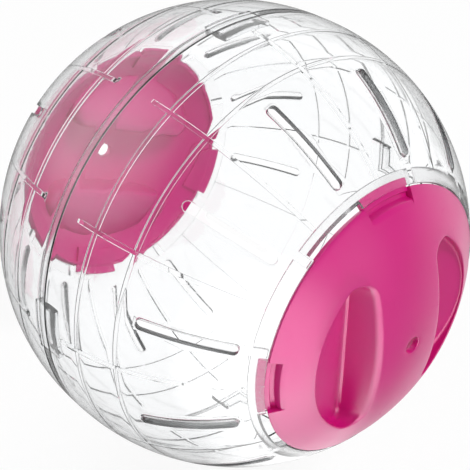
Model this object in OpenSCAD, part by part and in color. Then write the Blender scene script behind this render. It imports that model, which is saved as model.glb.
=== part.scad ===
// Hamster exercise ball: two clear half shells that meet at an upright seam, each with a
// twist-lock lid over its pole. The origin is the centre of the ball, the lids lie on the
// X axis and Z points up. Lengths are in millimetres and angles in degrees.

/* [Ball] */
// Outer radius of the ball
ball_r = 70; // [64:1:100]
// Wall thickness of the half shells
shell_wall = 2; // [1.8:0.1:3]
// Straight stretch of each half beside the seam
seam_skirt = 1.35; // [1:0.05:3]

/* [Seam] */
// Height of the lip that the left half slips inside the right half
lap_h = 1.8; // [1.4:0.1:3]
// Thickness of that lip
lap_t = 0.9; // [0.8:0.05:1]
// Running gap between the two halves where they overlap
lap_gap = 0.15; // [0.1:0.01:0.2]
// Number of tongues that line up the two halves
tongue_count = 4; // [2:1:6]
// Width of a tongue
tongue_w = 16; // [10:1:24]
// Length of a tongue past the seam
tongue_reach = 5.5; // [4:0.1:8]
// Thickness of a tongue
tongue_t = 1.2; // [1:0.1:2]

/* [Ribs] */
// Width of the ribs on the inside of the shell
rib_w = 1.2; // [0.8:0.1:2]
// Height of the ribs that run from the seam to the lid
rib_h = 0.6; // [0.5:0.05:1]
// Height of the ribs that run round the ball
ring_rib_h = 0.45; // [0.3:0.05:0.45]

/* [Air slots] */
// Number of air slots in each half, with a rib between each two
slot_count = 12; // [6:1:16]
// Width of an air slot
slot_w = 2.7; // [1.5:0.1:3.5]
// Distance from the upper ring rib to the slots, along the surface
slot_low_gap = 5.5; // [3:0.1:9]
// Distance from the slots to the land round the lid, along the surface
slot_high_gap = 3.4; // [2:0.1:6]

/* [Lid seat] */
// Width of the thin land round the mouth of each half
land_w = 3.4; // [3:0.1:5]
// Thickness of the land
land_t = 1; // [0.8:0.05:1.3]
// Gap all round the lid
lid_gap = 0.3; // [0.2:0.05:0.5]
// Width of a stop that a lug turns against
stop_w = 2.2; // [1.5:0.1:4]

/* [Lid] */
// Radius of the lid at its rim
lid_r = 41; // [38:0.5:44]
// Wall thickness of the lid
lid_wall = 2; // [1.6:0.1:2.2]
// Thickness of the skirt at the rim of the lid
skirt_t = 0.9; // [0.8:0.05:1.2]
// Radius of the air hole in the middle of the lid
pole_hole_r = 2.4; // [1.5:0.1:4]

/* [Lugs] */
// Number of lugs round the lid
lug_count = 4; // [3:1:5]
// Arc of a lug round the lid, in degrees
lug_arc = 24; // [16:1:30]
// Distance that a lug stands out from the rim
lug_reach = 1.3; // [1.1:0.1:2.4]
// Thickness of a lug
lug_t = 1.3; // [1:0.1:2]
// Gap between a lug and the land over it
lug_gap = 0.2; // [0.15:0.01:0.3]
// Width of the pocket in the lid beside each lug
pocket_w = 3.1; // [2:0.1:4]
// Depth of that pocket
pocket_depth = 1.9; // [1:0.1:1.9]
// Thickness of the floor under the pocket
pocket_floor_t = 1; // [0.8:0.1:1.6]

/* [Grip] */
// Width of the grip bar across the lid
bar_w = 25; // [20:0.5:30]
// Distance from the lid axis to the outer edge of a finger scoop
scoop_r = 29.7; // [27:0.1:32]
// Depth of a scoop beside the bar
scoop_depth = 11.6; // [7:0.1:14]
// Depth of the step at the outer edge of a scoop
scoop_edge = 0.8; // [0.5:0.1:1.5]
// Corner radius of a scoop
scoop_corner_r = 4; // [2:0.1:5]
// Wall thickness of the scoops
scoop_wall = 1.8; // [1.2:0.1:2.2]

/* [Hidden] */
$fn = 96;
clear_plastic = [0.88, 0.92, 0.95, 0.35];
pink_plastic = "deeppink";

// How far every cut runs past the face that it goes through
overrun = 1;
// Places of the ring ribs, as shares of the way from the seam to the land
ring_rib_shares = [0.21, 0.42];
// Free way from the end of a tongue to the ribs
rib_clear = 3;
// Length of the root that ties a tongue to its own half
tongue_root = 3;
// Slack between a lug and the sides of its notch, in degrees
notch_slack = 1;
// Slack between a lug and its stop, in degrees
stop_slack = 1.5;
// How far the skirt of the lid reaches below its lugs
skirt_drop = 0.2;
// How far the floor of a pocket runs past its ends and its inner side, in degrees
pocket_margin = 1.5;
// Number of straight steps in a corner and in the long side of a scoop
corner_steps = 6;
arc_steps = 14;
// Where the round walls start and end, clear of ribs, slots, lugs and scoops
wall_start_share = 0.3;
lid_start = 20;

inner_r = ball_r - shell_wall;
mouth_r = lid_r + lid_gap;
lug_r = lid_r + lug_reach;
land_under_r = ball_r - land_t;
lug_top_r = land_under_r - lug_gap;
lug_floor_r = lug_top_r - lug_t;

// Latitudes, counted from the seam, at which the outer surface has a given radius
mouth_lat = acos(mouth_r / ball_r);
land_lat = acos((mouth_r + land_w) / ball_r);
lid_lat = acos(lid_r / ball_r);
skirt_lat = acos((lid_r - skirt_t) / ball_r);
skirt_mid_lat = acos((lid_r - skirt_t / 2) / ball_r);
pocket_lat = acos((lid_r - skirt_t - pocket_w) / ball_r);
lug_lat = acos(lug_r / lug_top_r);
pole_lat = 90;

// The left lid is drawn unlocked, one lug place round from the right one
turn = lug_arc + notch_slack;
left_lid_turn = turn - 360 / lug_count;
stop_arc = stop_w / mouth_r * 180 / PI;

rib_lat = asin((tongue_reach + rib_clear - seam_skirt) / inner_r);
rib_pitch = 360 / slot_count;
wall_start = wall_start_share * rib_pitch;
slot_low_lat = ring_rib_shares[1] * land_lat + slot_low_gap / ball_r * 180 / PI;
slot_high_lat = land_lat - slot_high_gap / ball_r * 180 / PI;
slot_lat = (slot_low_lat + slot_high_lat) / 2;
slot_span = slot_high_lat - slot_low_lat;
slot_len = 2 * ball_r * sin(slot_span / 2);

tongue_arc = 2 * asin(tongue_w / 2 / inner_r);
tongue_out_r = sqrt(inner_r ^ 2 - max(tongue_reach - seam_skirt, 0) ^ 2) - lap_gap;
tongue_in_r = tongue_out_r - tongue_t;
lap_reach = lap_h - lap_gap;

half_bar = bar_w / 2;
bar_top_z = seam_skirt + sqrt(ball_r ^ 2 - half_bar ^ 2);
scoop_low_z = bar_top_z - scoop_depth;
scoop_rim_z = seam_skirt + sqrt(ball_r ^ 2 - scoop_r ^ 2) - scoop_edge;
scoop_slope = atan2(scoop_rim_z - scoop_low_z, scoop_r - half_bar);
pole_z = seam_skirt + ball_r;

// A slice of a round wall seen from the side: radii from the ball's centre, latitudes
module wall_slice(inner, outer, low, high) {
    far = outer / cos((high - low) / 4) + overrun;
    rays = [low, (low + high) / 2, high];
    translate([0, seam_skirt])
        intersection() {
            difference() {
                circle(outer);
                circle(inner);
            }
            polygon([[0, 0], for (lat = rays) [far * cos(lat), far * sin(lat)]]);
        }
}

// Copies round the lid axis
module around(count, start = 0) {
    for (k = [0 : count - 1])
        rotate([0, 0, start + k * 360 / count])
            children();
}

// Full ring round the lid axis, with its joint line turned to a free place
module ring_sweep(start) {
    rotate([0, 0, start])
        rotate_extrude()
            children();
}

// Solid swept round the lid axis through an arc centred on the X axis
module arc_sweep(arc) {
    rotate([0, 0, -arc / 2])
        rotate_extrude(angle = arc)
            children();
}

module ring_rib_slices() {
    for (share = ring_rib_shares)
        translate([0, seam_skirt])
            rotate(share * land_lat)
                translate([inner_r - ring_rib_h, -rib_w / 2])
                    square([ring_rib_h + shell_wall / 2, rib_w]);
}

// Round wall with ring ribs, thinned on the inside to a land round the mouth
module half_wall() {
    ring_sweep(wall_start)
        difference() {
            union() {
                wall_slice(inner_r, ball_r, 0, mouth_lat);
                translate([inner_r, 0])
                    square([shell_wall, seam_skirt]);
                ring_rib_slices();
            }
            wall_slice(inner_r - overrun, land_under_r, land_lat, pole_lat);
        }
}

module rib() {
    rotate([90, 0, 0])
        linear_extrude(height = rib_w, center = true)
            wall_slice(inner_r - rib_h, inner_r + shell_wall / 2, rib_lat, land_lat);
}

module slot_cut() {
    end_x = (slot_len - slot_w) / 2;
    low_z = inner_r * cos(slot_span / 2) - overrun;
    depth = ball_r + overrun - low_z;
    translate([0, 0, seam_skirt])
        rotate([0, 90 - slot_lat, 0])
            translate([0, 0, low_z]) {
                for (side = [-1, 1])
                    translate([side * end_x, 0, 0])
                        cylinder(h = depth, d = slot_w);
                translate([-end_x, -slot_w / 2, 0])
                    cube([2 * end_x, slot_w, depth]);
            }
}

// Notches in the land let the lugs in, and stops on both sides hold their turn
module notch_cut() {
    arc_sweep(lug_arc + 2 * notch_slack)
        translate([mouth_r - land_w, 0])
            square([lug_reach + land_w, pole_z]);
}

module stop() {
    arc_sweep(stop_arc)
        wall_slice(inner_r, land_under_r + land_t / 2, land_lat - notch_slack, mouth_lat);
}

module half_shell() {
    lock_stop = -(lug_arc + stop_arc) / 2 - stop_slack;
    free_stop = (lug_arc + stop_arc) / 2 + turn + stop_slack;
    difference() {
        union() {
            half_wall();
            around(slot_count)
                rib();
        }
        around(slot_count, rib_pitch / 2)
            slot_cut();
        around(lug_count, turn)
            notch_cut();
    }
    around(lug_count, lock_stop)
        stop();
    around(lug_count, free_stop)
        stop();
}

// The right half is thinned on the inside of its rim to take the lip
module lap_rebate() {
    ring_sweep(wall_start)
        translate([inner_r - overrun, -overrun])
            square([overrun + lap_t + lap_gap, overrun + lap_h]);
}

module lap_lip() {
    ring_sweep(wall_start)
        translate([inner_r, -lap_reach])
            square([lap_t, lap_reach + seam_skirt]);
}

module tongue() {
    arc_sweep(tongue_arc)
        polygon([
            [tongue_in_r, -tongue_reach],
            [tongue_out_r, -tongue_reach],
            [tongue_out_r, -lap_reach],
            [inner_r + lap_t / 2, -lap_reach],
            [inner_r + lap_t / 2, tongue_root],
            [tongue_in_r, tongue_root]
        ]);
}

// Points along an arc, without the skipped ones at each of its ends
function arc_points(centre, radius, from, to, steps, skipped = 0) =
    [for (k = [skipped : steps - skipped]) let (angle = from + (to - from) * k / steps)
        centre + radius * [cos(angle), sin(angle)]];

// Outline of a finger scoop seen along the lid axis, with its straight side to the bar
function scoop_outline(grow) =
    let (
        corner_y = half_bar + scoop_corner_r,
        corner_x = sqrt((scoop_r - scoop_corner_r) ^ 2 - corner_y ^ 2),
        meet = atan2(corner_y, corner_x),
        corner_r = scoop_corner_r + grow
    )
    concat(
        arc_points([corner_x, corner_y], corner_r, -90, meet, corner_steps),
        arc_points([0, 0], scoop_r + grow, meet, 180 - meet, arc_steps, 1),
        arc_points([-corner_x, corner_y], corner_r, 180 - meet, 270, corner_steps)
    );

// Space of a scoop, or of its outside with the wall added, above its sloping floor
module scoop_space(grow) {
    drop = grow / cos(scoop_slope);
    intersection() {
        linear_extrude(height = pole_z + overrun)
            polygon(scoop_outline(grow));
        translate([-ball_r, half_bar, scoop_low_z - drop])
            rotate([scoop_slope, 0, 0])
                translate([0, -ball_r, 0])
                    cube(2 * ball_r);
    }
}

module scoop_walls() {
    intersection() {
        scoop_space(scoop_wall);
        translate([0, 0, seam_skirt])
            sphere(ball_r - lid_wall / 2);
    }
}

module lug() {
    arc_sweep(lug_arc)
        wall_slice(lug_floor_r, lug_top_r, lug_lat, skirt_mid_lat);
}

// Pockets in the dome show where the lugs are, over a floor that joins them to the dome
module pocket_floor() {
    floor_r = ball_r - pocket_depth;
    arc_sweep(lug_arc + pocket_margin)
        wall_slice(floor_r - pocket_floor_t, ball_r - lid_wall / 2, skirt_mid_lat,
            pocket_lat + pocket_margin);
}

module pocket_cut() {
    arc_sweep(lug_arc)
        wall_slice(ball_r - pocket_depth, ball_r + overrun, skirt_lat, pocket_lat);
}

// The rim of the lid steps down between a lug and its pocket
module rim_step_cut() {
    step_r = lug_top_r + lug_gap / 2;
    arc_sweep(lug_arc + pocket_margin)
        wall_slice(step_r, ball_r + 2 * overrun, lug_lat, (skirt_lat + pocket_lat) / 2);
}

// Dome with a thin skirt at its rim
module lid_wall_sweep() {
    skirt_floor_r = lug_floor_r - skirt_drop;
    ring_sweep(lid_start)
        difference() {
            wall_slice(skirt_floor_r, ball_r, lid_lat, pole_lat);
            wall_slice(skirt_floor_r - overrun, ball_r - lid_wall, skirt_lat, pole_lat);
        }
}

module lid() {
    difference() {
        union() {
            lid_wall_sweep();
            around(lug_count) {
                lug();
                pocket_floor();
            }
            around(2)
                scoop_walls();
        }
        around(lug_count) {
            pocket_cut();
            rim_step_cut();
        }
        around(2)
            scoop_space(0);
        cylinder(h = pole_z + overrun, r = pole_hole_r);
    }
}

// Stands a piece drawn about Z on its side, facing right or left along X
module facing_right() {
    rotate([0, 90, 0])
        rotate([0, 0, 180])
            children();
}

module facing_left() {
    rotate([0, 0, 180])
        facing_right()
            children();
}

module shell_right() {
    color(clear_plastic)
        facing_right()
            difference() {
                half_shell();
                lap_rebate();
            }
}

module shell_left() {
    color(clear_plastic)
        facing_left() {
            half_shell();
            lap_lip();
            around(tongue_count)
                tongue();
        }
}

module lid_right() {
    color(pink_plastic)
        facing_right()
            lid();
}

module lid_left() {
    color(pink_plastic)
        facing_left()
            rotate([0, 0, left_lid_turn])
                lid();
}

shell_right();
shell_left();
lid_right();
lid_left();
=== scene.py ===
import math
import bmesh
import bpy
from mathutils import Matrix, Vector


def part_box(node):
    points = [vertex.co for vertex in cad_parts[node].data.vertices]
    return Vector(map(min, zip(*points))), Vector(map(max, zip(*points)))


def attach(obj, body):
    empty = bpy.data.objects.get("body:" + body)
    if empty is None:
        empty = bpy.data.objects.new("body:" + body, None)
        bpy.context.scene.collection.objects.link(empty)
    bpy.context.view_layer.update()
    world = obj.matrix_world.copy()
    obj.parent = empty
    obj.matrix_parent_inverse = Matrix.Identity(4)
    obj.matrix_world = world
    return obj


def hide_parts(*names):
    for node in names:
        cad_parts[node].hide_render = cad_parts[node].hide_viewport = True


# Clear hamster ball: two half shells that meet at an upright seam, and a pink twist-lock lid over
# each pole. Every piece is drawn round its own axis, with the seam at height 0 and the lid on top,
# and is then laid on its side.

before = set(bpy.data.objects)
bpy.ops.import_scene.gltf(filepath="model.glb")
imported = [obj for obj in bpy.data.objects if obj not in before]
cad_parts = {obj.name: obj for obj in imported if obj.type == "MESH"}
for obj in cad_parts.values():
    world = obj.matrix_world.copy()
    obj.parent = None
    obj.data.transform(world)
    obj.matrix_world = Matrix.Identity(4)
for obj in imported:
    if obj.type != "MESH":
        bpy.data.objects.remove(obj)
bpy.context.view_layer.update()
mm = 0.001
over = 1 * mm                   # how far cutters run past what they cut
white = (1, 1, 1, 1)


# Camera, fitted to the photograph
view = {
    "back": (0.6185, -0.5490, 0.5620),
    "distance": 310.8 * mm,
    "lens": 77.03,
    "shift": (0.0017, -0.0055),
    "nearest": 10 * mm,         # nothing nearer to the camera than this is drawn
}


def makeCamera():
    camera = bpy.data.objects.new("camera", bpy.data.cameras.new("camera"))
    bpy.context.scene.collection.objects.link(camera)
    back = Vector(view["back"]).normalized()
    camera.location = back * view["distance"]
    camera.rotation_mode = "QUATERNION"
    camera.rotation_quaternion = (-back).to_track_quat("-Z", "Y")
    camera.data.lens = view["lens"]
    camera.data.shift_x, camera.data.shift_y = view["shift"]
    camera.data.clip_start = view["nearest"]
    bpy.context.scene.camera = camera


makeCamera()
print("camera done")


# Sizes that the half shells and the lids share
ball = {
    "radius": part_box("shell_right")[1].z,
    "wall": 2 * mm,
    "straight": 1.35 * mm,      # straight stretch beside the seam
    "stepsRound": 240,          # faces round the axis
    "latStep": 1.5,             # degrees between rows of faces
    "sharpAngle": 28,           # edges sharper than this stay crisp
    "weld": 0.001 * mm,         # points nearer to each other than this are joined
}

twist = {
    "lidRim": 41 * mm,
    "lidGap": 0.3 * mm,
    "lugCount": 4,
    "lugArc": 24,               # degrees
    "turnToUnlock": 25,         # degrees
}
mouthReach = twist["lidRim"] + twist["lidGap"]


# Outlines, seen from the side as distance from the axis and height over the seam
def latOf(reach):
    return math.degrees(math.acos(reach / ball["radius"]))


def sidePoint(radius, lat):
    angle = math.radians(lat)
    return (radius * math.cos(angle), ball["straight"] + radius * math.sin(angle))


def sideArc(radius, start, end):
    steps = max(1, round(abs(end - start) / ball["latStep"]))
    return [sidePoint(radius, start + (end - start) * k / steps) for k in range(steps + 1)]


# Each crisp corner becomes a short curve, which takes at most a share of the sides beside it
def softCorners(outline, reach, share=0.45, steps=3):
    rounded = []
    for k, corner in enumerate(outline):
        here, last, following = (Vector(outline[j % len(outline)]) for j in (k, k - 1, k + 1))
        before, after = here - last, following - here
        if math.degrees(before.angle(after)) < ball["sharpAngle"]:
            rounded.append(here)
            continue
        start = here - before.normalized() * min(reach, share * before.length)
        end = here + after.normalized() * min(reach, share * after.length)
        for j in range(steps + 1):
            t = j / steps
            rounded.append(start * (1 - t) ** 2 + here * 2 * t * (1 - t) + end * t ** 2)
    return rounded


def pushed(point, normal, out):
    return point[0] + normal[0] * out, point[1] + normal[1] * out


# Meshes
def meshObject(name, points, edges, faces):
    mesh = bpy.data.meshes.new(name)
    mesh.from_pydata([tuple(p) for p in points], edges, faces)
    if faces:
        work = bmesh.new()
        work.from_mesh(mesh)
        bmesh.ops.recalc_face_normals(work, faces=work.faces)
        if work.calc_volume(signed=True) < 0:
            bmesh.ops.reverse_faces(work, faces=work.faces)
        work.to_mesh(mesh)
        work.free()
    return bpy.data.objects.new(name, mesh)


# Solid between rings of equally many points, closed at the first and the last ring
def loft(name, rings):
    count = len(rings[0])
    points = [p for ring in rings for p in ring]
    last = len(points) - count
    faces = [tuple(range(count)), tuple(range(last, last + count))]
    for level in range(0, last, count):
        for k in range(count):
            a, b = level + k, level + (k + 1) % count
            faces.append((a, b, b + count, a + count))
    return meshObject(name, points, [], faces)


# Solid swept round the axis through an arc centred on the X axis, with rounded ends if wanted
def sweepRound(name, profile, arc, endRound=0):
    steps = max(2, round(arc / ball["latStep"]))
    middle = [sum(p[i] for p in profile) / len(profile) for i in (0, 1)]
    rings = []
    places = [(k / steps - 0.5) * arc for k in range(steps + 1)]
    if endRound:
        inset = math.degrees(endRound / middle[0])
        places = [-arc / 2, *[x * (1 - 2 * inset / arc) for x in places], arc / 2]
    for k, place in enumerate(places):
        shrink = endRound if k in (0, len(places) - 1) else 0
        angle = math.radians(place)
        ring = []
        for p in profile:
            away = Vector((p[0] - middle[0], p[1] - middle[1]))
            away -= away.normalized() * shrink
            x = middle[0] + away.x
            ring.append((x * math.cos(angle), x * math.sin(angle), middle[1] + away.y))
        rings.append(ring)
    return loft(name, rings)


# Geometry Nodes trees
def newTree(name, inputs):
    tree = bpy.data.node_groups.new(name, "GeometryNodeTree")
    tree.interface.new_socket("Geometry", in_out="INPUT", socket_type="NodeSocketGeometry")
    for label, kind in inputs.items():
        tree.interface.new_socket(label, in_out="INPUT", socket_type="NodeSocket" + kind)
    tree.interface.new_socket("Material", in_out="INPUT", socket_type="NodeSocketMaterial")
    tree.interface.new_socket("Geometry", in_out="OUTPUT", socket_type="NodeSocketGeometry")
    return tree, tree.nodes.new("NodeGroupInput").outputs


# A node with its settings, and with its inputs set or linked
def node(tree, kind, values, **settings):
    made = tree.nodes.new(kind)
    for name, value in settings.items():
        setattr(made, name, value)
    for key, value in values.items():
        socket = made.inputs[key]
        for one in value if isinstance(value, list) else [value]:
            if isinstance(one, bpy.types.NodeSocket):
                tree.links.new(one, socket)
            else:
                socket.default_value = one
    return made


def sums(tree, operation, *values):
    return node(tree, "ShaderNodeMath", dict(enumerate(values)), operation=operation).outputs[0]


def fade(tree, value, span, levels):
    limits = {"From Min": span[0], "From Max": span[1], "To Min": levels[0], "To Max": levels[1]}
    return node(tree, "ShaderNodeMapRange", {"Value": value, **limits}).outputs[0]


def closeTree(tree, geometry, given):
    whole = node(tree, "GeometryNodeRealizeInstances", {"Geometry": geometry}).outputs[0]
    painted = node(tree, "GeometryNodeSetMaterial", {"Geometry": whole, "Material": given["Material"]})
    node(tree, "NodeGroupOutput", {"Geometry": painted.outputs[0]})
    return tree


# Turns a closed outline round the Z axis
def turnTree():
    tree, given = newTree("turned", {"Steps": "Int"})
    outline = given["Geometry"]
    size = node(tree, "GeometryNodeAttributeDomainSize", {"Geometry": outline})
    count = size.outputs["Point Count"]
    rows, columns = sums(tree, "ADD", count, 1), sums(tree, "ADD", given["Steps"], 1)
    grid = node(tree, "GeometryNodeMeshGrid", {"Vertices X": rows, "Vertices Y": columns})
    index = node(tree, "GeometryNodeInputIndex", {}).outputs[0]
    row = sums(tree, "MODULO", sums(tree, "FLOOR", sums(tree, "DIVIDE", index, columns)), count)
    step = sums(tree, "DIVIDE", math.tau, given["Steps"])
    turn = sums(tree, "MULTIPLY", sums(tree, "MODULO", index, columns), step)
    position = node(tree, "GeometryNodeInputPosition", {}).outputs[0]
    profile = node(tree, "GeometryNodeSampleIndex",
                   {"Geometry": outline, "Value": position, "Index": row},
                   data_type="FLOAT_VECTOR").outputs[0]
    around = node(tree, "ShaderNodeVectorRotate", {"Vector": profile, "Angle": turn},
                  rotation_type="Z_AXIS").outputs[0]
    placed = node(tree, "GeometryNodeSetPosition",
                  {"Geometry": grid.outputs[0], "Position": around}).outputs[0]
    joined = node(tree, "GeometryNodeMergeByDistance",
                  {"Geometry": placed, "Distance": ball["weld"]}).outputs[0]
    outward = node(tree, "GeometryNodeFlipFaces", {"Mesh": joined}).outputs[0]
    return closeTree(tree, outward, given)


# Adds copies of a feature round the Z axis, or cuts them out
def ringTree():
    tree, given = newTree("ringOfCopies",
                          {"Feature": "Object", "Count": "Int", "Start": "Float", "Cut": "Bool"})
    feature = node(tree, "GeometryNodeObjectInfo", {"Object": given["Feature"]}).outputs["Geometry"]
    dots = node(tree, "GeometryNodeMeshLine", {"Count": given["Count"], "Offset": (0, 0, 0)}).outputs[0]
    index = node(tree, "GeometryNodeInputIndex", {}).outputs[0]
    pitch = sums(tree, "DIVIDE", 360, given["Count"])
    degrees = sums(tree, "MULTIPLY_ADD", index, pitch, given["Start"])
    radians = sums(tree, "RADIANS", degrees)
    turn = node(tree, "FunctionNodeAxisAngleToRotation", {"Angle": radians}).outputs[0]
    copies = node(tree, "GeometryNodeInstanceOnPoints",
                  {"Points": dots, "Instance": feature, "Rotation": turn}).outputs[0]
    copies = node(tree, "GeometryNodeRealizeInstances", {"Geometry": copies}).outputs[0]
    cut = node(tree, "GeometryNodeMeshBoolean", {"Mesh 1": given["Geometry"], "Mesh 2": copies},
               operation="DIFFERENCE", solver="MANIFOLD").outputs[0]
    added = node(tree, "GeometryNodeMeshBoolean", {"Mesh 2": [given["Geometry"], copies]},
                 operation="UNION", solver="MANIFOLD").outputs[0]
    chosen = node(tree, "GeometryNodeSwitch", {"Switch": given["Cut"], "False": added, "True": cut},
                  input_type="GEOMETRY").outputs[0]
    return closeTree(tree, chosen, given)


# Smooth faces, with the edges that bend sharply kept crisp
def shadeTree():
    tree, given = newTree("shaded", {"Sharp": "Float"})
    welded = node(tree, "GeometryNodeMergeByDistance",
                  {"Geometry": given["Geometry"], "Distance": ball["weld"]}).outputs[0]
    smooth = node(tree, "GeometryNodeSetShadeSmooth", {"Geometry": welded}, domain="FACE").outputs[0]
    bend = node(tree, "GeometryNodeInputMeshEdgeAngle", {}).outputs[0]
    crisp = sums(tree, "GREATER_THAN", bend, sums(tree, "RADIANS", given["Sharp"]))
    creased = node(tree, "GeometryNodeSetShadeSmooth",
                   {"Geometry": smooth, "Selection": crisp, "Shade Smooth": False},
                   domain="EDGE").outputs[0]
    return closeTree(tree, creased, given)


trees = {"turned": turnTree(), "ringOfCopies": ringTree(), "shaded": shadeTree()}


def addStep(piece, tree, values):
    step = piece.modifiers.new(tree.name, "NODES")
    step.node_group = tree
    for item in tree.interface.items_tree:
        if item.in_out == "INPUT" and item.name in values:
            step[item.identifier] = values[item.name]


# Half shells: a round wall with ring ribs, thinned from the inside to a land round its mouth
seat = {
    "landWidth": 3.4 * mm,
    "landThick": 1 * mm,
    "notchReach": 1.3 * mm,
    "notchSlack": 1,            # degrees at each end of a notch
    "stopWidth": 2.2 * mm,
    "stopSlack": 1.5,           # degrees between a lug and its stop
    "stopRoot": 1,              # degrees that a stop starts before the land
    "stopInset": 0.2,           # degrees that a stop ends before the mouth
    "stopRound": 0.2 * mm,
}

seam = {
    "gap": 0.15 * mm,           # between the halves, where they overlap
    "lipHeight": 1.65 * mm,
    "lipThick": 0.9 * mm,
    "rebateHeight": 1.8 * mm,
    "rebateDepth": 1.05 * mm,
    "hairline": 0.03 * mm,      # each rim stays this far back from the seam
    "edgeRound": 0.12 * mm,
    "roundShare": 0.15,         # share of the sides beside a corner that its rounding may take
}

ribs = {
    "count": 12,
    "width": 1.2 * mm,
    "topWidth": 1.1 * mm,
    "height": 0.6 * mm,
    "rootShare": 0.25,          # share of the wall that the root of a rib reaches into
    "start": 6.04,              # degrees from the seam
    "footArc": 1,               # degrees over which a rib rises at its start
    "ringHeight": 0.45 * mm,
    "ringShares": (0.21, 0.42), # places of the ring ribs on the way from the seam to the land
}

landReach = mouthReach + seat["landWidth"]


def shellProfile(isLeft):
    outer, inner = ball["radius"], ball["radius"] - ball["wall"]
    mouthLat, landLat = latOf(mouthReach), latOf(landReach)
    rim = seam["hairline"]
    points = [(outer, rim), *sideArc(outer, 0, mouthLat),
              *sideArc(outer - seat["landThick"], mouthLat, landLat)]
    low, high, flat = (math.degrees(x / inner / 2) for x in (-ribs["width"], ribs["width"], ribs["topWidth"]))
    lastLat = landLat
    for share in reversed(ribs["ringShares"]):
        middle, top = share * landLat, inner - ribs["ringHeight"]
        points += sideArc(inner, lastLat, middle + high)
        points += [sidePoint(top, middle + flat), sidePoint(top, middle - flat)]
        lastLat = middle + low
    if isLeft:
        lipOut = inner + seam["lipThick"]
        points += sideArc(inner, lastLat, 0)
        points += [(inner, -seam["lipHeight"]), (lipOut, -seam["lipHeight"]), (lipOut, rim)]
    else:
        rebateOut, top = inner + seam["rebateDepth"], seam["rebateHeight"]
        rebateLat = math.degrees(math.asin((top - ball["straight"]) / inner))
        points += sideArc(inner, lastLat, rebateLat)
        points += [(rebateOut, top), (rebateOut, rim)]
    return softCorners(points, seam["edgeRound"], seam["roundShare"])


def makeRib():
    inner = ball["radius"] - ball["wall"]
    landLat = latOf(landReach)
    half, flat = ribs["width"] / 2, ribs["topWidth"] / 2
    root = inner + ribs["rootShare"] * ball["wall"]
    steps = round((landLat - ribs["start"]) / ball["latStep"])
    rings = []
    for k in range(-1, steps + 1):
        isFoot = k < 0
        lat = ribs["start"] + (landLat - ribs["start"]) * max(k, 0) / steps
        lat -= ribs["footArc"] if isFoot else 0
        top = inner if isFoot else inner - ribs["height"]
        section = ((-half, root), (-half, inner), (-flat, top), (flat, top), (half, inner), (half, root))
        ring = []
        for across, radius in section:
            reach, height = sidePoint(radius, lat)
            ring.append((reach, across, height))
        rings.append(ring)
    return loft("rib", rings)


# Cutter rings that leave a rounded edge round an opening and then run on past the surface
flare = {
    "tilts": (0, 26, 52, 78),   # degrees along the rounding
    "risesPastSurface": (0.3 * over, 3 * over),
}


def flaredRings(outline, surface, rounding, sign):
    rings = []
    for tilt in flare["tilts"]:
        angle = math.radians(tilt)
        ring = []
        for point, normal in outline:
            reach = rounding(point, normal)
            x, y = pushed(point, normal, reach * (1 - math.cos(angle)))
            ring.append((x, y, surface(x, y) - sign * reach * (1 - math.sin(angle))))
        rings.append(ring)
    for rise in flare["risesPastSurface"]:
        ring = []
        for point, normal in outline:
            x, y = pushed(point, normal, rounding(point, normal) + over)
            ring.append((x, y, surface(x, y) + sign * rise))
        rings.append(ring)
    return rings


slots = {
    "width": 2.7 * mm,
    "lowGap": 5.5 * mm,         # from the upper ring rib, along the surface
    "highGap": 3.4 * mm,        # from the land, along the surface
    "edgeRound": 0.18 * mm,
    "endSteps": 10,
    "sideSteps": 8,
}


def slotOutline(endX):
    radius = slots["width"] / 2
    outline = []
    for side in (1, -1):
        for k in range(slots["endSteps"] + 1):
            angle = math.pi * (k / slots["endSteps"] - 0.5) + (0 if side > 0 else math.pi)
            normal = (math.cos(angle), math.sin(angle))
            outline.append(((side * endX + radius * normal[0], radius * normal[1]), normal))
        for k in range(1, slots["sideSteps"]):
            along = side * endX * (1 - 2 * k / slots["sideSteps"])
            outline.append(((along, side * radius), (0, side)))
    return outline


def makeSlotCutter():
    outer, inner = ball["radius"], ball["radius"] - ball["wall"]
    landLat = latOf(landReach)
    low = ribs["ringShares"][1] * landLat + math.degrees(slots["lowGap"] / outer)
    high = landLat - math.degrees(slots["highGap"] / outer)
    outline = slotOutline(outer * math.sin(math.radians(high - low) / 2) - slots["width"] / 2)

    def slotRound(point, normal):
        return slots["edgeRound"]

    def onOuter(x, y):
        return math.sqrt(outer ** 2 - x ** 2 - y ** 2)

    def onInner(x, y):
        return math.sqrt(inner ** 2 - x ** 2 - y ** 2)

    inside = flaredRings(outline, onInner, slotRound, -1)
    outside = flaredRings(outline, onOuter, slotRound, 1)
    cutter = loft("slotCutter", [*reversed(inside), *outside])
    lean = Matrix.Rotation(math.radians(90 - (low + high) / 2), 4, "Y")
    cutter.data.transform(Matrix.Translation((0, 0, ball["straight"])) @ lean)
    return cutter


def makeNotchCutter():
    inside, outside = mouthReach - seat["landWidth"], mouthReach + seat["notchReach"]
    low, high = ball["straight"] + outside, ball["straight"] + ball["radius"]
    profile = [(inside, low), (outside, low), (outside, high), (inside, high)]
    return sweepRound("notchCutter", profile, twist["lugArc"] + 2 * seat["notchSlack"])


def makeStop():
    inner = ball["radius"] - ball["wall"]
    middle = ball["radius"] - seat["landThick"] + seat["landThick"] / 2
    low, high = latOf(landReach) - seat["stopRoot"], latOf(mouthReach) - seat["stopInset"]
    profile = [sidePoint(inner, low), sidePoint(middle, low), sidePoint(middle, high), sidePoint(inner, high)]
    arc = math.degrees(seat["stopWidth"] / mouthReach)
    return sweepRound("stop", softCorners(profile, seat["stopRound"]), arc)


tongues = {
    "count": 4,
    "width": 16 * mm,
    "reach": 5.5 * mm,          # past the seam
    "thick": 1.2 * mm,
    "root": 3 * mm,             # up the wall of their own half
    "edgeRound": 0.3 * mm,
}


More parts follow.
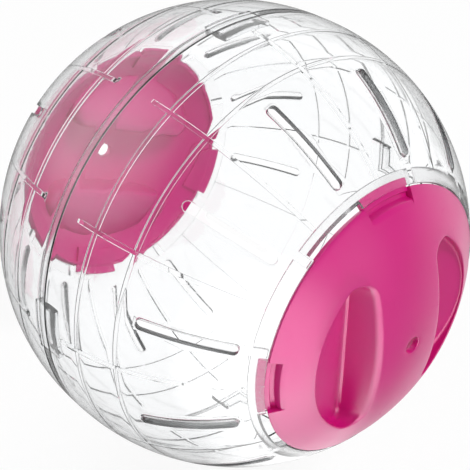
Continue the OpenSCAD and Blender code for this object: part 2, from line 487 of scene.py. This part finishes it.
def makeTongue():
    inner = ball["radius"] - ball["wall"]
    reach, root, lip = tongues["reach"], tongues["root"], seam["lipHeight"]
    outside = math.sqrt(inner ** 2 - (reach - ball["straight"]) ** 2) - seam["gap"]
    inside, anchor = outside - tongues["thick"], inner + seam["lipThick"] / 2
    profile = [(inside, -reach), (outside, -reach), (outside, -lip),
               (anchor, -lip), (anchor, root), (inside, root)]
    soft = tongues["edgeRound"]
    arc = math.degrees(2 * math.asin(tongues["width"] / 2 / inner))
    return sweepRound("tongue", softCorners(profile, soft), arc, soft)


# Lids: a dome with a thin skirt and a hole in the middle
lid = {
    "wall": 2 * mm,
    "skirt": 0.9 * mm,
    "skirtFloor": 67.3 * mm,    # distance of the skirt's foot from the centre
    "hole": 2.4 * mm,           # radius
    "rimRound": 0.45 * mm,
}


def dome(x, y, inset=0):
    return ball["straight"] + math.sqrt((ball["radius"] - inset) ** 2 - x ** 2 - y ** 2)


def lidProfile():
    outer, inner = ball["radius"], ball["radius"] - lid["wall"]
    rimLat, skirtLat = latOf(twist["lidRim"]), latOf(twist["lidRim"] - lid["skirt"])
    outHole, inHole = (math.degrees(math.acos(lid["hole"] / r)) for r in (outer, inner))
    floor = lid["skirtFloor"]
    points = [*sideArc(outer, rimLat, outHole), *sideArc(inner, inHole, skirtLat),
              sidePoint(floor, skirtLat), sidePoint(floor, rimLat)]
    return softCorners(points, lid["rimRound"])


# Two scoops with sloping floors, and the grip bar that they leave between them
grip = {
    "barWidth": 25 * mm,
    "scoopReach": 29.7 * mm,
    "depth": 11.6 * mm,         # at the bar
    "edgeDepth": 0.8 * mm,      # at the outer edge
    "corner": 4 * mm,
    "wall": 1.8 * mm,
    "barRound": 1.7 * mm,       # rounding of the bar's long edges
    "rimRound": 0.6 * mm,       # rounding of the rest of a scoop's rim
    "floorRound": 2.2 * mm,     # rounding where a floor meets the walls
    "depthShare": 0.4,          # share of the depth that a rounding may take
    "barDraft": 2 * mm,         # how far the bar's walls lean out towards their feet
    "cornerSteps": 9,
    "arcSteps": 36,
    "barSteps": 24,
    "floorTilts": (0, 22, 45, 67, 90),
    "ringSpacing": 0.001 * mm,  # keeps rings apart where the dome holds them down, for each degree
    "cupLift": 0.1 * mm,        # how far a cup reaches above the middle of the dome's wall
    "cupShelf": 3 * mm,         # how far its top runs inwards, for the scoop to cut away
}


def scoopOutline():
    half, corner, reach = grip["barWidth"] / 2, grip["corner"], grip["scoopReach"]
    cy = half + corner
    cx = math.sqrt((reach - corner) ** 2 - cy ** 2)
    meet = math.degrees(math.atan2(cy, cx))
    arcs = [(cx, cy, corner, -90, meet, grip["cornerSteps"]),
            (0, 0, reach, meet, 180 - meet, grip["arcSteps"]),
            (-cx, cy, corner, 180 - meet, 270, grip["cornerSteps"])]
    outline = []
    for middleX, middleY, radius, start, end, steps in arcs:
        for k in range(steps):
            angle = math.radians(start + (end - start) * (k + 0.5) / steps)
            normal = (math.cos(angle), math.sin(angle))
            outline.append((pushed((middleX, middleY), normal, radius), normal))
    for k in range(grip["barSteps"]):
        outline.append(((cx * (2 * (k + 0.5) / grip["barSteps"] - 1), half), (0, -1)))
    return outline


def scoopFloor(y):
    half, reach = grip["barWidth"] / 2, grip["scoopReach"]
    low, rim = dome(half, 0) - grip["depth"], dome(reach, 0) - grip["edgeDepth"]
    return low + (y - half) * (rim - low) / (reach - half)


def roundWithin(wanted, x, y):
    return min(wanted, grip["depthShare"] * (dome(x, y) - scoopFloor(y)))


def scoopRound(point, normal):
    towardBar = max(0, -normal[1]) ** 2
    wanted = grip["rimRound"] + (grip["barRound"] - grip["rimRound"]) * towardBar
    return roundWithin(wanted, *point)


def makeScoopCutter():
    outline = scoopOutline()
    rings = []
    for tilt in grip["floorTilts"]:
        angle = math.radians(tilt)
        ring = []
        for point, normal in outline:
            reach = roundWithin(grip["floorRound"], *point)
            draft = grip["barDraft"] * max(0, -normal[1])
            x, y = pushed(point, normal, -reach * (1 - math.sin(angle)) - draft)
            ring.append((x, y, scoopFloor(y) + reach * (1 - math.cos(angle))))
        rings.append(ring)
    return loft("scoopCutter", rings + flaredRings(outline, dome, scoopRound, 1))


# The walls and floor under a scoop
def makeCup():
    outline = scoopOutline()
    half, far, wall = grip["barWidth"] / 2, grip["scoopReach"], grip["wall"]
    slope = math.atan2(scoopFloor(far) - scoopFloor(half), far - half)
    drop = wall / math.cos(slope)
    inset = lid["wall"] / 2
    rings = []
    for tilt in grip["floorTilts"]:
        angle = math.radians(tilt)
        ring = []
        for point, normal in outline:
            reach = roundWithin(grip["floorRound"], *point)
            x, y = pushed(point, normal, -reach + (reach + wall) * math.sin(angle))
            height = scoopFloor(y) - drop + (reach + wall) * (1 - math.cos(angle))
            highest = dome(x, y, inset) - grip["ringSpacing"] * (grip["floorTilts"][-1] - tilt)
            ring.append((x, y, min(height, highest)))
        rings.append(ring)
    for out in (wall, -grip["cupShelf"]):
        ring = []
        for point, normal in outline:
            x, y = pushed(point, normal, out)
            ring.append((x, y, dome(x, y, inset) + grip["cupLift"]))
        rings.append(ring)
    return loft("cup", rings)


lugs = {
    "reach": 1.3 * mm,
    "floor": 67.5 * mm,         # distances from the centre
    "top": 68.8 * mm,
    "edgeRound": 0.25 * mm,
}
lugLat = math.degrees(math.acos((twist["lidRim"] + lugs["reach"]) / lugs["top"]))


def ringPiece(name, corners, arc, endRound=0):
    profile = softCorners([sidePoint(*corner) for corner in corners], lugs["edgeRound"])
    return sweepRound(name, profile, arc, endRound)


def makeLug():
    high = latOf(twist["lidRim"] - lid["skirt"] / 2)
    corners = ((lugs["floor"], lugLat), (lugs["top"], lugLat), (lugs["top"], high), (lugs["floor"], high))
    return ringPiece("lug", corners, twist["lugArc"], lugs["edgeRound"])


# A pocket in the dome beside each lug, over a floor of its own that joins the dome
pockets = {
    "width": 3.1 * mm,
    "depth": 1.9 * mm,
    "floorThick": 1 * mm,
    "flatShare": 0.35,          # share of the width where the floor is flat
    "margin": 1.5,              # degrees that the floor runs on under the dome
    "rimStep": 68.9 * mm,       # distance of the lid's rim beside a lug from the centre
    "lipArc": 1,                # degrees on each side of the upper edge over which it slopes
}


def makePocketFloor():
    low = latOf(twist["lidRim"] - lid["skirt"] / 2)
    high = latOf(twist["lidRim"] - lid["skirt"] - pockets["width"]) + pockets["margin"]
    top = ball["radius"] - lid["wall"] / 2
    under = ball["radius"] - pockets["depth"] - pockets["floorThick"]
    corners = ((under, low), (top, low), (top, high), (under, high))
    return ringPiece("pocketFloor", corners, twist["lugArc"] + pockets["margin"])


# The rim steps down beside a lug, and the pocket's floor then climbs towards the pole
def makePocketCutter():
    low = latOf(twist["lidRim"] - lid["skirt"])
    high = latOf(twist["lidRim"] - lid["skirt"] - pockets["width"])
    outer, step, lip = ball["radius"], pockets["rimStep"], pockets["lipArc"]
    floor = outer - pockets["depth"]
    middle = low + pockets["flatShare"] * (high - low)
    corners = ((step, lugLat), (outer + over, lugLat), (outer + over, high + lip), (outer, high),
               (outer - lugs["edgeRound"], high - lip), (floor, middle), (floor, low), (step, low))
    return ringPiece("pocketCutter", corners, twist["lugArc"])


# Materials
def newMaterial(name):
    material = bpy.data.materials.new(name)
    material.use_nodes = True
    return material, material.node_tree, material.node_tree.nodes["Principled BSDF"]


# Moulded plastic: patches of haze, hairline scratches, slow waves and a fine grain
finishLook = {
    "hazeScale": 45,
    "hazeDetail": 3,
    "hazeSpan": (0.35, 0.65),   # values of that noise with the least and the most haze
    "waveScale": 28,
    "grainScale": 2600,
    "grainDetail": 1,
    # turn and stretch of the noise for each run of scratches
    "threads": [((0.5, 0.2, 0), (30, 320, 320)), ((0, 0.9, 0.4), (360, 40, 360)),
                ((1.1, 0, 1.3), (300, 300, 35))],
    "threadMiddle": 0.5,
    "threadWidth": 0.004,
    "threadsAbove": 0.52,       # scratches show where the noise of the waves is above this
}
finishInputs = ("Low", "High", "Scratches", "Waves", "Grain")


def noise(tree, place, scale, detail):
    return node(tree, "ShaderNodeTexNoise", {"Vector": place, "Scale": scale, "Detail": detail}).outputs[0]


def mouldedFinish():
    look = finishLook
    tree = bpy.data.node_groups.new("mouldedFinish", "ShaderNodeTree")
    for label in finishInputs:
        tree.interface.new_socket(label, in_out="INPUT", socket_type="NodeSocketFloat")
    for label in ("Roughness", "Height", "Patches"):
        tree.interface.new_socket(label, in_out="OUTPUT", socket_type="NodeSocketFloat")
    given = tree.nodes.new("NodeGroupInput").outputs
    place = node(tree, "ShaderNodeTexCoord", {}).outputs["Object"]
    patches = noise(tree, place, look["hazeScale"], look["hazeDetail"])
    slow = noise(tree, place, look["waveScale"], 0)
    fine = noise(tree, place, look["grainScale"], look["grainDetail"])
    marks = 0
    for lean, stretch in look["threads"]:
        laid = node(tree, "ShaderNodeMapping", {"Vector": place, "Rotation": lean, "Scale": stretch})
        threads = noise(tree, laid.outputs[0], 1, 0)
        nearMiddle = sums(tree, "COMPARE", threads, look["threadMiddle"], look["threadWidth"])
        marks = sums(tree, "MAXIMUM", marks, nearMiddle)
    few = sums(tree, "MULTIPLY", marks, sums(tree, "GREATER_THAN", slow, look["threadsAbove"]))
    hazy = fade(tree, patches, look["hazeSpan"], (given["Low"], given["High"]))
    rough = sums(tree, "MULTIPLY_ADD", few, given["Scratches"], hazy)
    grain = sums(tree, "MULTIPLY", fine, given["Grain"])
    height = sums(tree, "MULTIPLY_ADD", slow, given["Waves"], grain)
    node(tree, "NodeGroupOutput", {"Roughness": rough, "Height": height, "Patches": patches})
    return tree


finish = mouldedFinish()


def addFinish(tree, shader, look):
    group = tree.nodes.new("ShaderNodeGroup")
    group.node_tree = finish
    for label in finishInputs:
        group.inputs[label].default_value = look[label.lower()]
    bump = node(tree, "ShaderNodeBump", {"Height": group.outputs["Height"], "Distance": 1, "Strength": 1})
    tree.links.new(group.outputs["Roughness"], shader.inputs["Roughness"])
    tree.links.new(bump.outputs[0], shader.inputs["Normal"])
    return group


clearLook = {
    "tint": (0.994, 0.997, 1, 1), "ior": 1.5,
    "depth": (0.82, 0.85, 0.86, 1), "density": 30,
    "sheen": 0.2, "sheenSpread": 0.2,
    "lampShare": (0.95, 0.95, 0.95, 1),
    "low": 0.01, "high": 0.035, "scratches": 0.12, "waves": 0.02 * mm, "grain": 0,
    "frost": 0.3,               # roughness added to the faces inside the wall's thickness
    "skin": 0.1 * mm,           # nearer the inner or outer surface than this, a face is polished
    "landShare": 0.8,           # share of the frost on the underside of the land
    "lapShare": 0.3,            # share of the frost beside the seam
    "lapReach": 2 * seam["rebateHeight"],
}


# Slot walls, notches and the underside of the land are left matt by the mould, and the overlap at
# the seam less so
def wallFrost(tree):
    place = node(tree, "ShaderNodeTexCoord", {}).outputs["Object"]
    axes = node(tree, "ShaderNodeSeparateXYZ", {0: place}).outputs
    along = sums(tree, "ABSOLUTE", axes["X"])
    beyond = sums(tree, "MAXIMUM", sums(tree, "SUBTRACT", along, ball["straight"]), 0)
    centred = node(tree, "ShaderNodeCombineXYZ", {"X": beyond, "Y": axes["Y"], "Z": axes["Z"]}).outputs[0]
    reach = node(tree, "ShaderNodeVectorMath", {0: centred}, operation="LENGTH").outputs["Value"]
    half, skin = ball["wall"] / 2, clearLook["skin"]
    inWall = sums(tree, "COMPARE", reach, ball["radius"] - half, half - skin)
    atLand = sums(tree, "COMPARE", reach, ball["radius"] - seat["landThick"], skin / 2)
    pastLap = sums(tree, "GREATER_THAN", along, clearLook["lapReach"])
    onLand = sums(tree, "MULTIPLY", atLand, pastLap)
    lapShare = sums(tree, "MULTIPLY_ADD", pastLap, 1 - clearLook["lapShare"], clearLook["lapShare"])
    frost = sums(tree, "MULTIPLY", sums(tree, "MULTIPLY", inWall, lapShare), clearLook["frost"])
    landShare = sums(tree, "MULTIPLY_ADD", onLand, clearLook["landShare"] - 1, 1)
    return sums(tree, "MULTIPLY", frost, landShare)


# Lamps shine straight through, so that they light what is inside
def lampsPass(tree, shader, tint):
    path = node(tree, "ShaderNodeLightPath", {})
    clear = node(tree, "ShaderNodeBsdfTransparent", {"Color": tint})
    mix = node(tree, "ShaderNodeMixShader",
               {0: path.outputs["Is Shadow Ray"], 1: shader.outputs[0], 2: clear.outputs[0]})
    tree.links.new(mix.outputs[0], tree.nodes["Material Output"].inputs["Surface"])


def clearPlastic():
    material, tree, shader = newMaterial("clearPlastic")
    shader.inputs["Base Color"].default_value = clearLook["tint"]
    shader.inputs["IOR"].default_value = clearLook["ior"]
    shader.inputs["Transmission Weight"].default_value = 1
    shader.inputs["Sheen Weight"].default_value = clearLook["sheen"]
    shader.inputs["Sheen Roughness"].default_value = clearLook["sheenSpread"]
    group = addFinish(tree, shader, clearLook)
    rough = sums(tree, "ADD", group.outputs["Roughness"], wallFrost(tree))
    tree.links.new(rough, shader.inputs["Roughness"])
    lampsPass(tree, shader, clearLook["lampShare"])
    absorb = node(tree, "ShaderNodeVolumeAbsorption",
                  {"Color": clearLook["depth"], "Density": clearLook["density"]})
    tree.links.new(absorb.outputs[0], tree.nodes["Material Output"].inputs["Volume"])
    return material


pinkLook = {
    "deep": (0.74, 0.006, 0.24, 1), "pale": (0.80, 0.012, 0.28, 1),
    "ior": 1.6, "gloss": 0.6, "through": 0.35,
    "low": 0.3, "high": 0.38, "scratches": 0.15, "waves": 0.02 * mm, "grain": 0.002 * mm,
}
# Places of the colour sockets on a mix node
mixSockets = {"first": 6, "second": 7, "result": 2}


def pinkPlastic():
    material, tree, shader = newMaterial("pinkPlastic")
    shader.inputs["IOR"].default_value = pinkLook["ior"]
    shader.inputs["Specular IOR Level"].default_value = pinkLook["gloss"]
    shader.inputs["Transmission Weight"].default_value = pinkLook["through"]
    group = addFinish(tree, shader, pinkLook)
    colors = {mixSockets["first"]: pinkLook["deep"], mixSockets["second"]: pinkLook["pale"]}
    pigment = node(tree, "ShaderNodeMix", {"Factor": group.outputs["Patches"]}, data_type="RGBA")
    for place, color in colors.items():
        pigment.inputs[place].default_value = color
    tree.links.new(pigment.outputs[mixSockets["result"]], shader.inputs["Base Color"])
    return material


materials = {"clear": clearPlastic(), "pink": pinkPlastic()}
print("materials done")


# The pieces: an outline turned round the axis, with rings of features added or cut
def makePiece(name, profile, features, material, placement, body, nodeName):
    edges = [(k, k + 1) for k in range(len(profile) - 1)]
    carrier = meshObject(name + "Profile", [(p[0], 0, p[1]) for p in profile], edges, [])
    bpy.context.scene.collection.objects.link(carrier)
    addStep(carrier, trees["turned"], {"Steps": ball["stepsRound"], "Material": material})
    for feature, count, start, cut in features:
        addStep(carrier, trees["ringOfCopies"],
                {"Feature": feature, "Count": count, "Start": float(start), "Cut": cut, "Material": material})
    addStep(carrier, trees["shaded"], {"Sharp": float(ball["sharpAngle"]), "Material": material})
    mesh = bpy.data.meshes.new_from_object(carrier.evaluated_get(bpy.context.evaluated_depsgraph_get()))
    mesh.transform(placement)
    piece = bpy.data.objects.new(name, mesh)
    bpy.context.scene.collection.objects.link(piece)
    bpy.data.objects.remove(carrier)
    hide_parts(nodeName)
    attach(piece, body)
    print(name, "has", len(mesh.polygons), "faces")


facingRight = Matrix(((0, 0, 1, 0), (0, -1, 0, 0), (1, 0, 0, 0), (0, 0, 0, 1)))
facingLeft = Matrix(((0, 0, -1, 0), (0, 1, 0, 0), (1, 0, 0, 0), (0, 0, 0, 1)))


# Each feature, how many of it, the angle of the first and whether it is cut
def shellFeatures(isLeft):
    pitch = 360 / ribs["count"]
    stopArc = math.degrees(seat["stopWidth"] / mouthReach)
    side = (twist["lugArc"] + stopArc) / 2 + seat["stopSlack"]
    count, turn = twist["lugCount"], twist["turnToUnlock"]
    stop = makeStop()
    features = [(makeRib(), ribs["count"], 0, False), (makeSlotCutter(), ribs["count"], pitch / 2, True),
                (makeNotchCutter(), count, turn, True),
                (stop, count, -side, False), (stop, count, side + turn, False)]
    if isLeft:
        features.append((makeTongue(), tongues["count"], 0, False))
    return features


def lidFeatures():
    count = twist["lugCount"]
    return [(makeLug(), count, 0, False), (makePocketFloor(), count, 0, False), (makeCup(), 2, 0, False),
            (makePocketCutter(), count, 0, True), (makeScoopCutter(), 2, 0, True)]


for isLeft, side, placement in ((False, "right", facingRight), (True, "left", facingLeft)):
    makePiece(side + "HalfShell", shellProfile(isLeft), shellFeatures(isLeft), materials["clear"],
              placement, side + "_half", "shell_" + side)
print("half shells done")

sharedFeatures = lidFeatures()
unlocked = Matrix.Rotation(math.radians(twist["turnToUnlock"] - 360 / twist["lugCount"]), 4, "Z")
for side, placement in (("right", facingRight), ("left", facingLeft @ unlocked)):
    makePiece(side + "Lid", lidProfile(), sharedFeatures, materials["pink"],
              placement, side + "_lid", "lid_" + side)
print("lids done")


# Floor, light and backdrop. A lean is the cosine between two directions.
studio = {
    "floorSize": 6,
    "floorColor": (0.9, 0.9, 0.9, 1),
    "floorRough": 0.9,
    "floorGlow": 0.9,           # share of the floor that glows, and the rest is lit and takes the shadow
    "throughGlow": 1.08,        # brightness of floor and backdrop through the clear plastic
    "skyLight": 0.45,           # light from all round
    "frontLeans": (-0.2, 0.3),  # leans away from the camera over which the dark front of the room ends
    "sideGlow": 1.25,           # brightness of the sides of the room in reflections
    "frontGlow": 0.12,          # brightness of the front of the room in reflections
    "backToward": (-0.855, 0.252, -0.453),
    "backLeans": (0.3, 0.75),   # leans to that direction over which the back darkens
    "backGlow": 0.25,           # brightness of the back, and the least of the floor, in reflections
    "floorFade": (0, 60 * mm),  # stretch along X over which the floor brightens in reflections
    # soft boxes that only reflections see: direction, brightness, leans where they start and are full
    "boxes": [((0.839, -0.507, -0.195), 5.0, 0.80, 0.95), ((0.70, -0.25, -0.67), 2.0, 0.88, 0.96),
              ((0.958, 0.222, 0.181), 1.3, 0.92, 0.985), ((-0.611, -0.560, 0.560), 2.6, 0.80, 0.97)],
    # place, size and power of the lamps, which reflections don't see
    "lamps": {"keyLamp": ((0.9, 0.35, 1.2), 0.4, 14), "topLamp": ((-0.85, -0.78, 0.78), 1.2, 8)},
}


def leanTo(tree, direction, toward):
    return node(tree, "ShaderNodeVectorMath", {0: direction, 1: toward},
                operation="DOT_PRODUCT").outputs["Value"]


# Reflections see a darker room behind the ball, which gives clear plastic its soft grey outline
def roomGlow(tree, place):
    ahead = tuple(-x for x in Vector(view["back"]).normalized())
    direction = node(tree, "ShaderNodeVectorMath", {0: place}, operation="NORMALIZE").outputs["Vector"]
    side = studio["sideGlow"]
    front = fade(tree, leanTo(tree, direction, ahead), studio["frontLeans"], (studio["frontGlow"], side))
    behind = leanTo(tree, direction, studio["backToward"])
    back = fade(tree, behind, studio["backLeans"], (side, studio["backGlow"]))
    glow = sums(tree, "MINIMUM", front, back)
    for toward, strength, start, full in studio["boxes"]:
        box = fade(tree, leanTo(tree, direction, toward), (start, full), (0, strength))
        glow = sums(tree, "MAXIMUM", glow, box)
    return glow


def makeFloor():
    half = studio["floorSize"] / 2
    low = -ball["radius"]
    corners = [(-half, -half, low), (half, -half, low), (half, half, low), (-half, half, low)]
    floor = meshObject("floor", corners, [], [(0, 1, 2, 3)])
    bpy.context.scene.collection.objects.link(floor)
    material, tree, shader = newMaterial("paleFloor")
    shader.inputs["Base Color"].default_value = studio["floorColor"]
    shader.inputs["Roughness"].default_value = studio["floorRough"]
    floor.data.materials.append(material)
    path = node(tree, "ShaderNodeLightPath", {})
    isThrough = path.outputs["Is Transmission Ray"]
    isMirrored = sums(tree, "GREATER_THAN", path.outputs["Is Glossy Ray"], isThrough)
    seen = sums(tree, "MAXIMUM", path.outputs["Is Camera Ray"], isThrough)
    share = sums(tree, "MAXIMUM", sums(tree, "MULTIPLY", seen, studio["floorGlow"]), isMirrored)
    place = node(tree, "ShaderNodeTexCoord", {}).outputs["Object"]
    forward = node(tree, "ShaderNodeSeparateXYZ", {0: place}).outputs["X"]
    under = fade(tree, forward, studio["floorFade"], (studio["backGlow"], 1))
    room = sums(tree, "MULTIPLY", under, roomGlow(tree, place))
    dim = sums(tree, "MAXIMUM", room, studio["backGlow"])
    mirrored = sums(tree, "MULTIPLY_ADD", isMirrored, sums(tree, "SUBTRACT", dim, 1), 1)
    strength = sums(tree, "MULTIPLY_ADD", isThrough, studio["throughGlow"] - 1, mirrored)
    glow = node(tree, "ShaderNodeEmission", {"Color": white, "Strength": strength})
    mix = node(tree, "ShaderNodeMixShader", {0: share, 1: shader.outputs[0], 2: glow.outputs[0]})
    tree.links.new(mix.outputs[0], tree.nodes["Material Output"].inputs["Surface"])


def makeWorld():
    world = bpy.data.worlds.new("studio")
    bpy.context.scene.world = world
    world.use_nodes = True
    tree = world.node_tree
    plain = tree.nodes["Background"]
    plain.inputs["Color"].default_value = white
    plain.inputs["Strength"].default_value = studio["skyLight"]
    path = node(tree, "ShaderNodeLightPath", {})
    isCamera, isGlossy = path.outputs["Is Camera Ray"], path.outputs["Is Glossy Ray"]
    isThrough = path.outputs["Is Transmission Ray"]
    seen = sums(tree, "MAXIMUM", isCamera, sums(tree, "MAXIMUM", isGlossy, isThrough))
    place = node(tree, "ShaderNodeTexCoord", {}).outputs["Generated"]
    direct = sums(tree, "MAXIMUM", isCamera, sums(tree, "MULTIPLY", isThrough, studio["throughGlow"]))
    isIndirect = sums(tree, "SUBTRACT", 1, sums(tree, "MAXIMUM", isCamera, isThrough))
    shade = sums(tree, "MULTIPLY_ADD", isIndirect, roomGlow(tree, place), direct)
    backdrop = node(tree, "ShaderNodeBackground", {"Color": white, "Strength": shade})
    mix = node(tree, "ShaderNodeMixShader", {0: seen, 1: plain.outputs[0], 2: backdrop.outputs[0]})
    tree.links.new(mix.outputs[0], tree.nodes["World Output"].inputs["Surface"])


def makeLamp(name, place, size, power):
    lamp = bpy.data.objects.new(name, bpy.data.lights.new(name, "AREA"))
    bpy.context.scene.collection.objects.link(lamp)
    lamp.data.size = size
    lamp.data.energy = power
    lamp.location = place
    lamp.rotation_mode = "QUATERNION"
    lamp.rotation_quaternion = Vector(place).to_track_quat("Z", "Y")
    lamp.visible_glossy = False
    lamp.visible_transmission = False
    lamp.visible_camera = False


makeFloor()
makeWorld()
for name, lampSetup in studio["lamps"].items():
    makeLamp(name, *lampSetup)
bpy.context.scene.view_settings.view_transform = "Standard"
print("studio done")
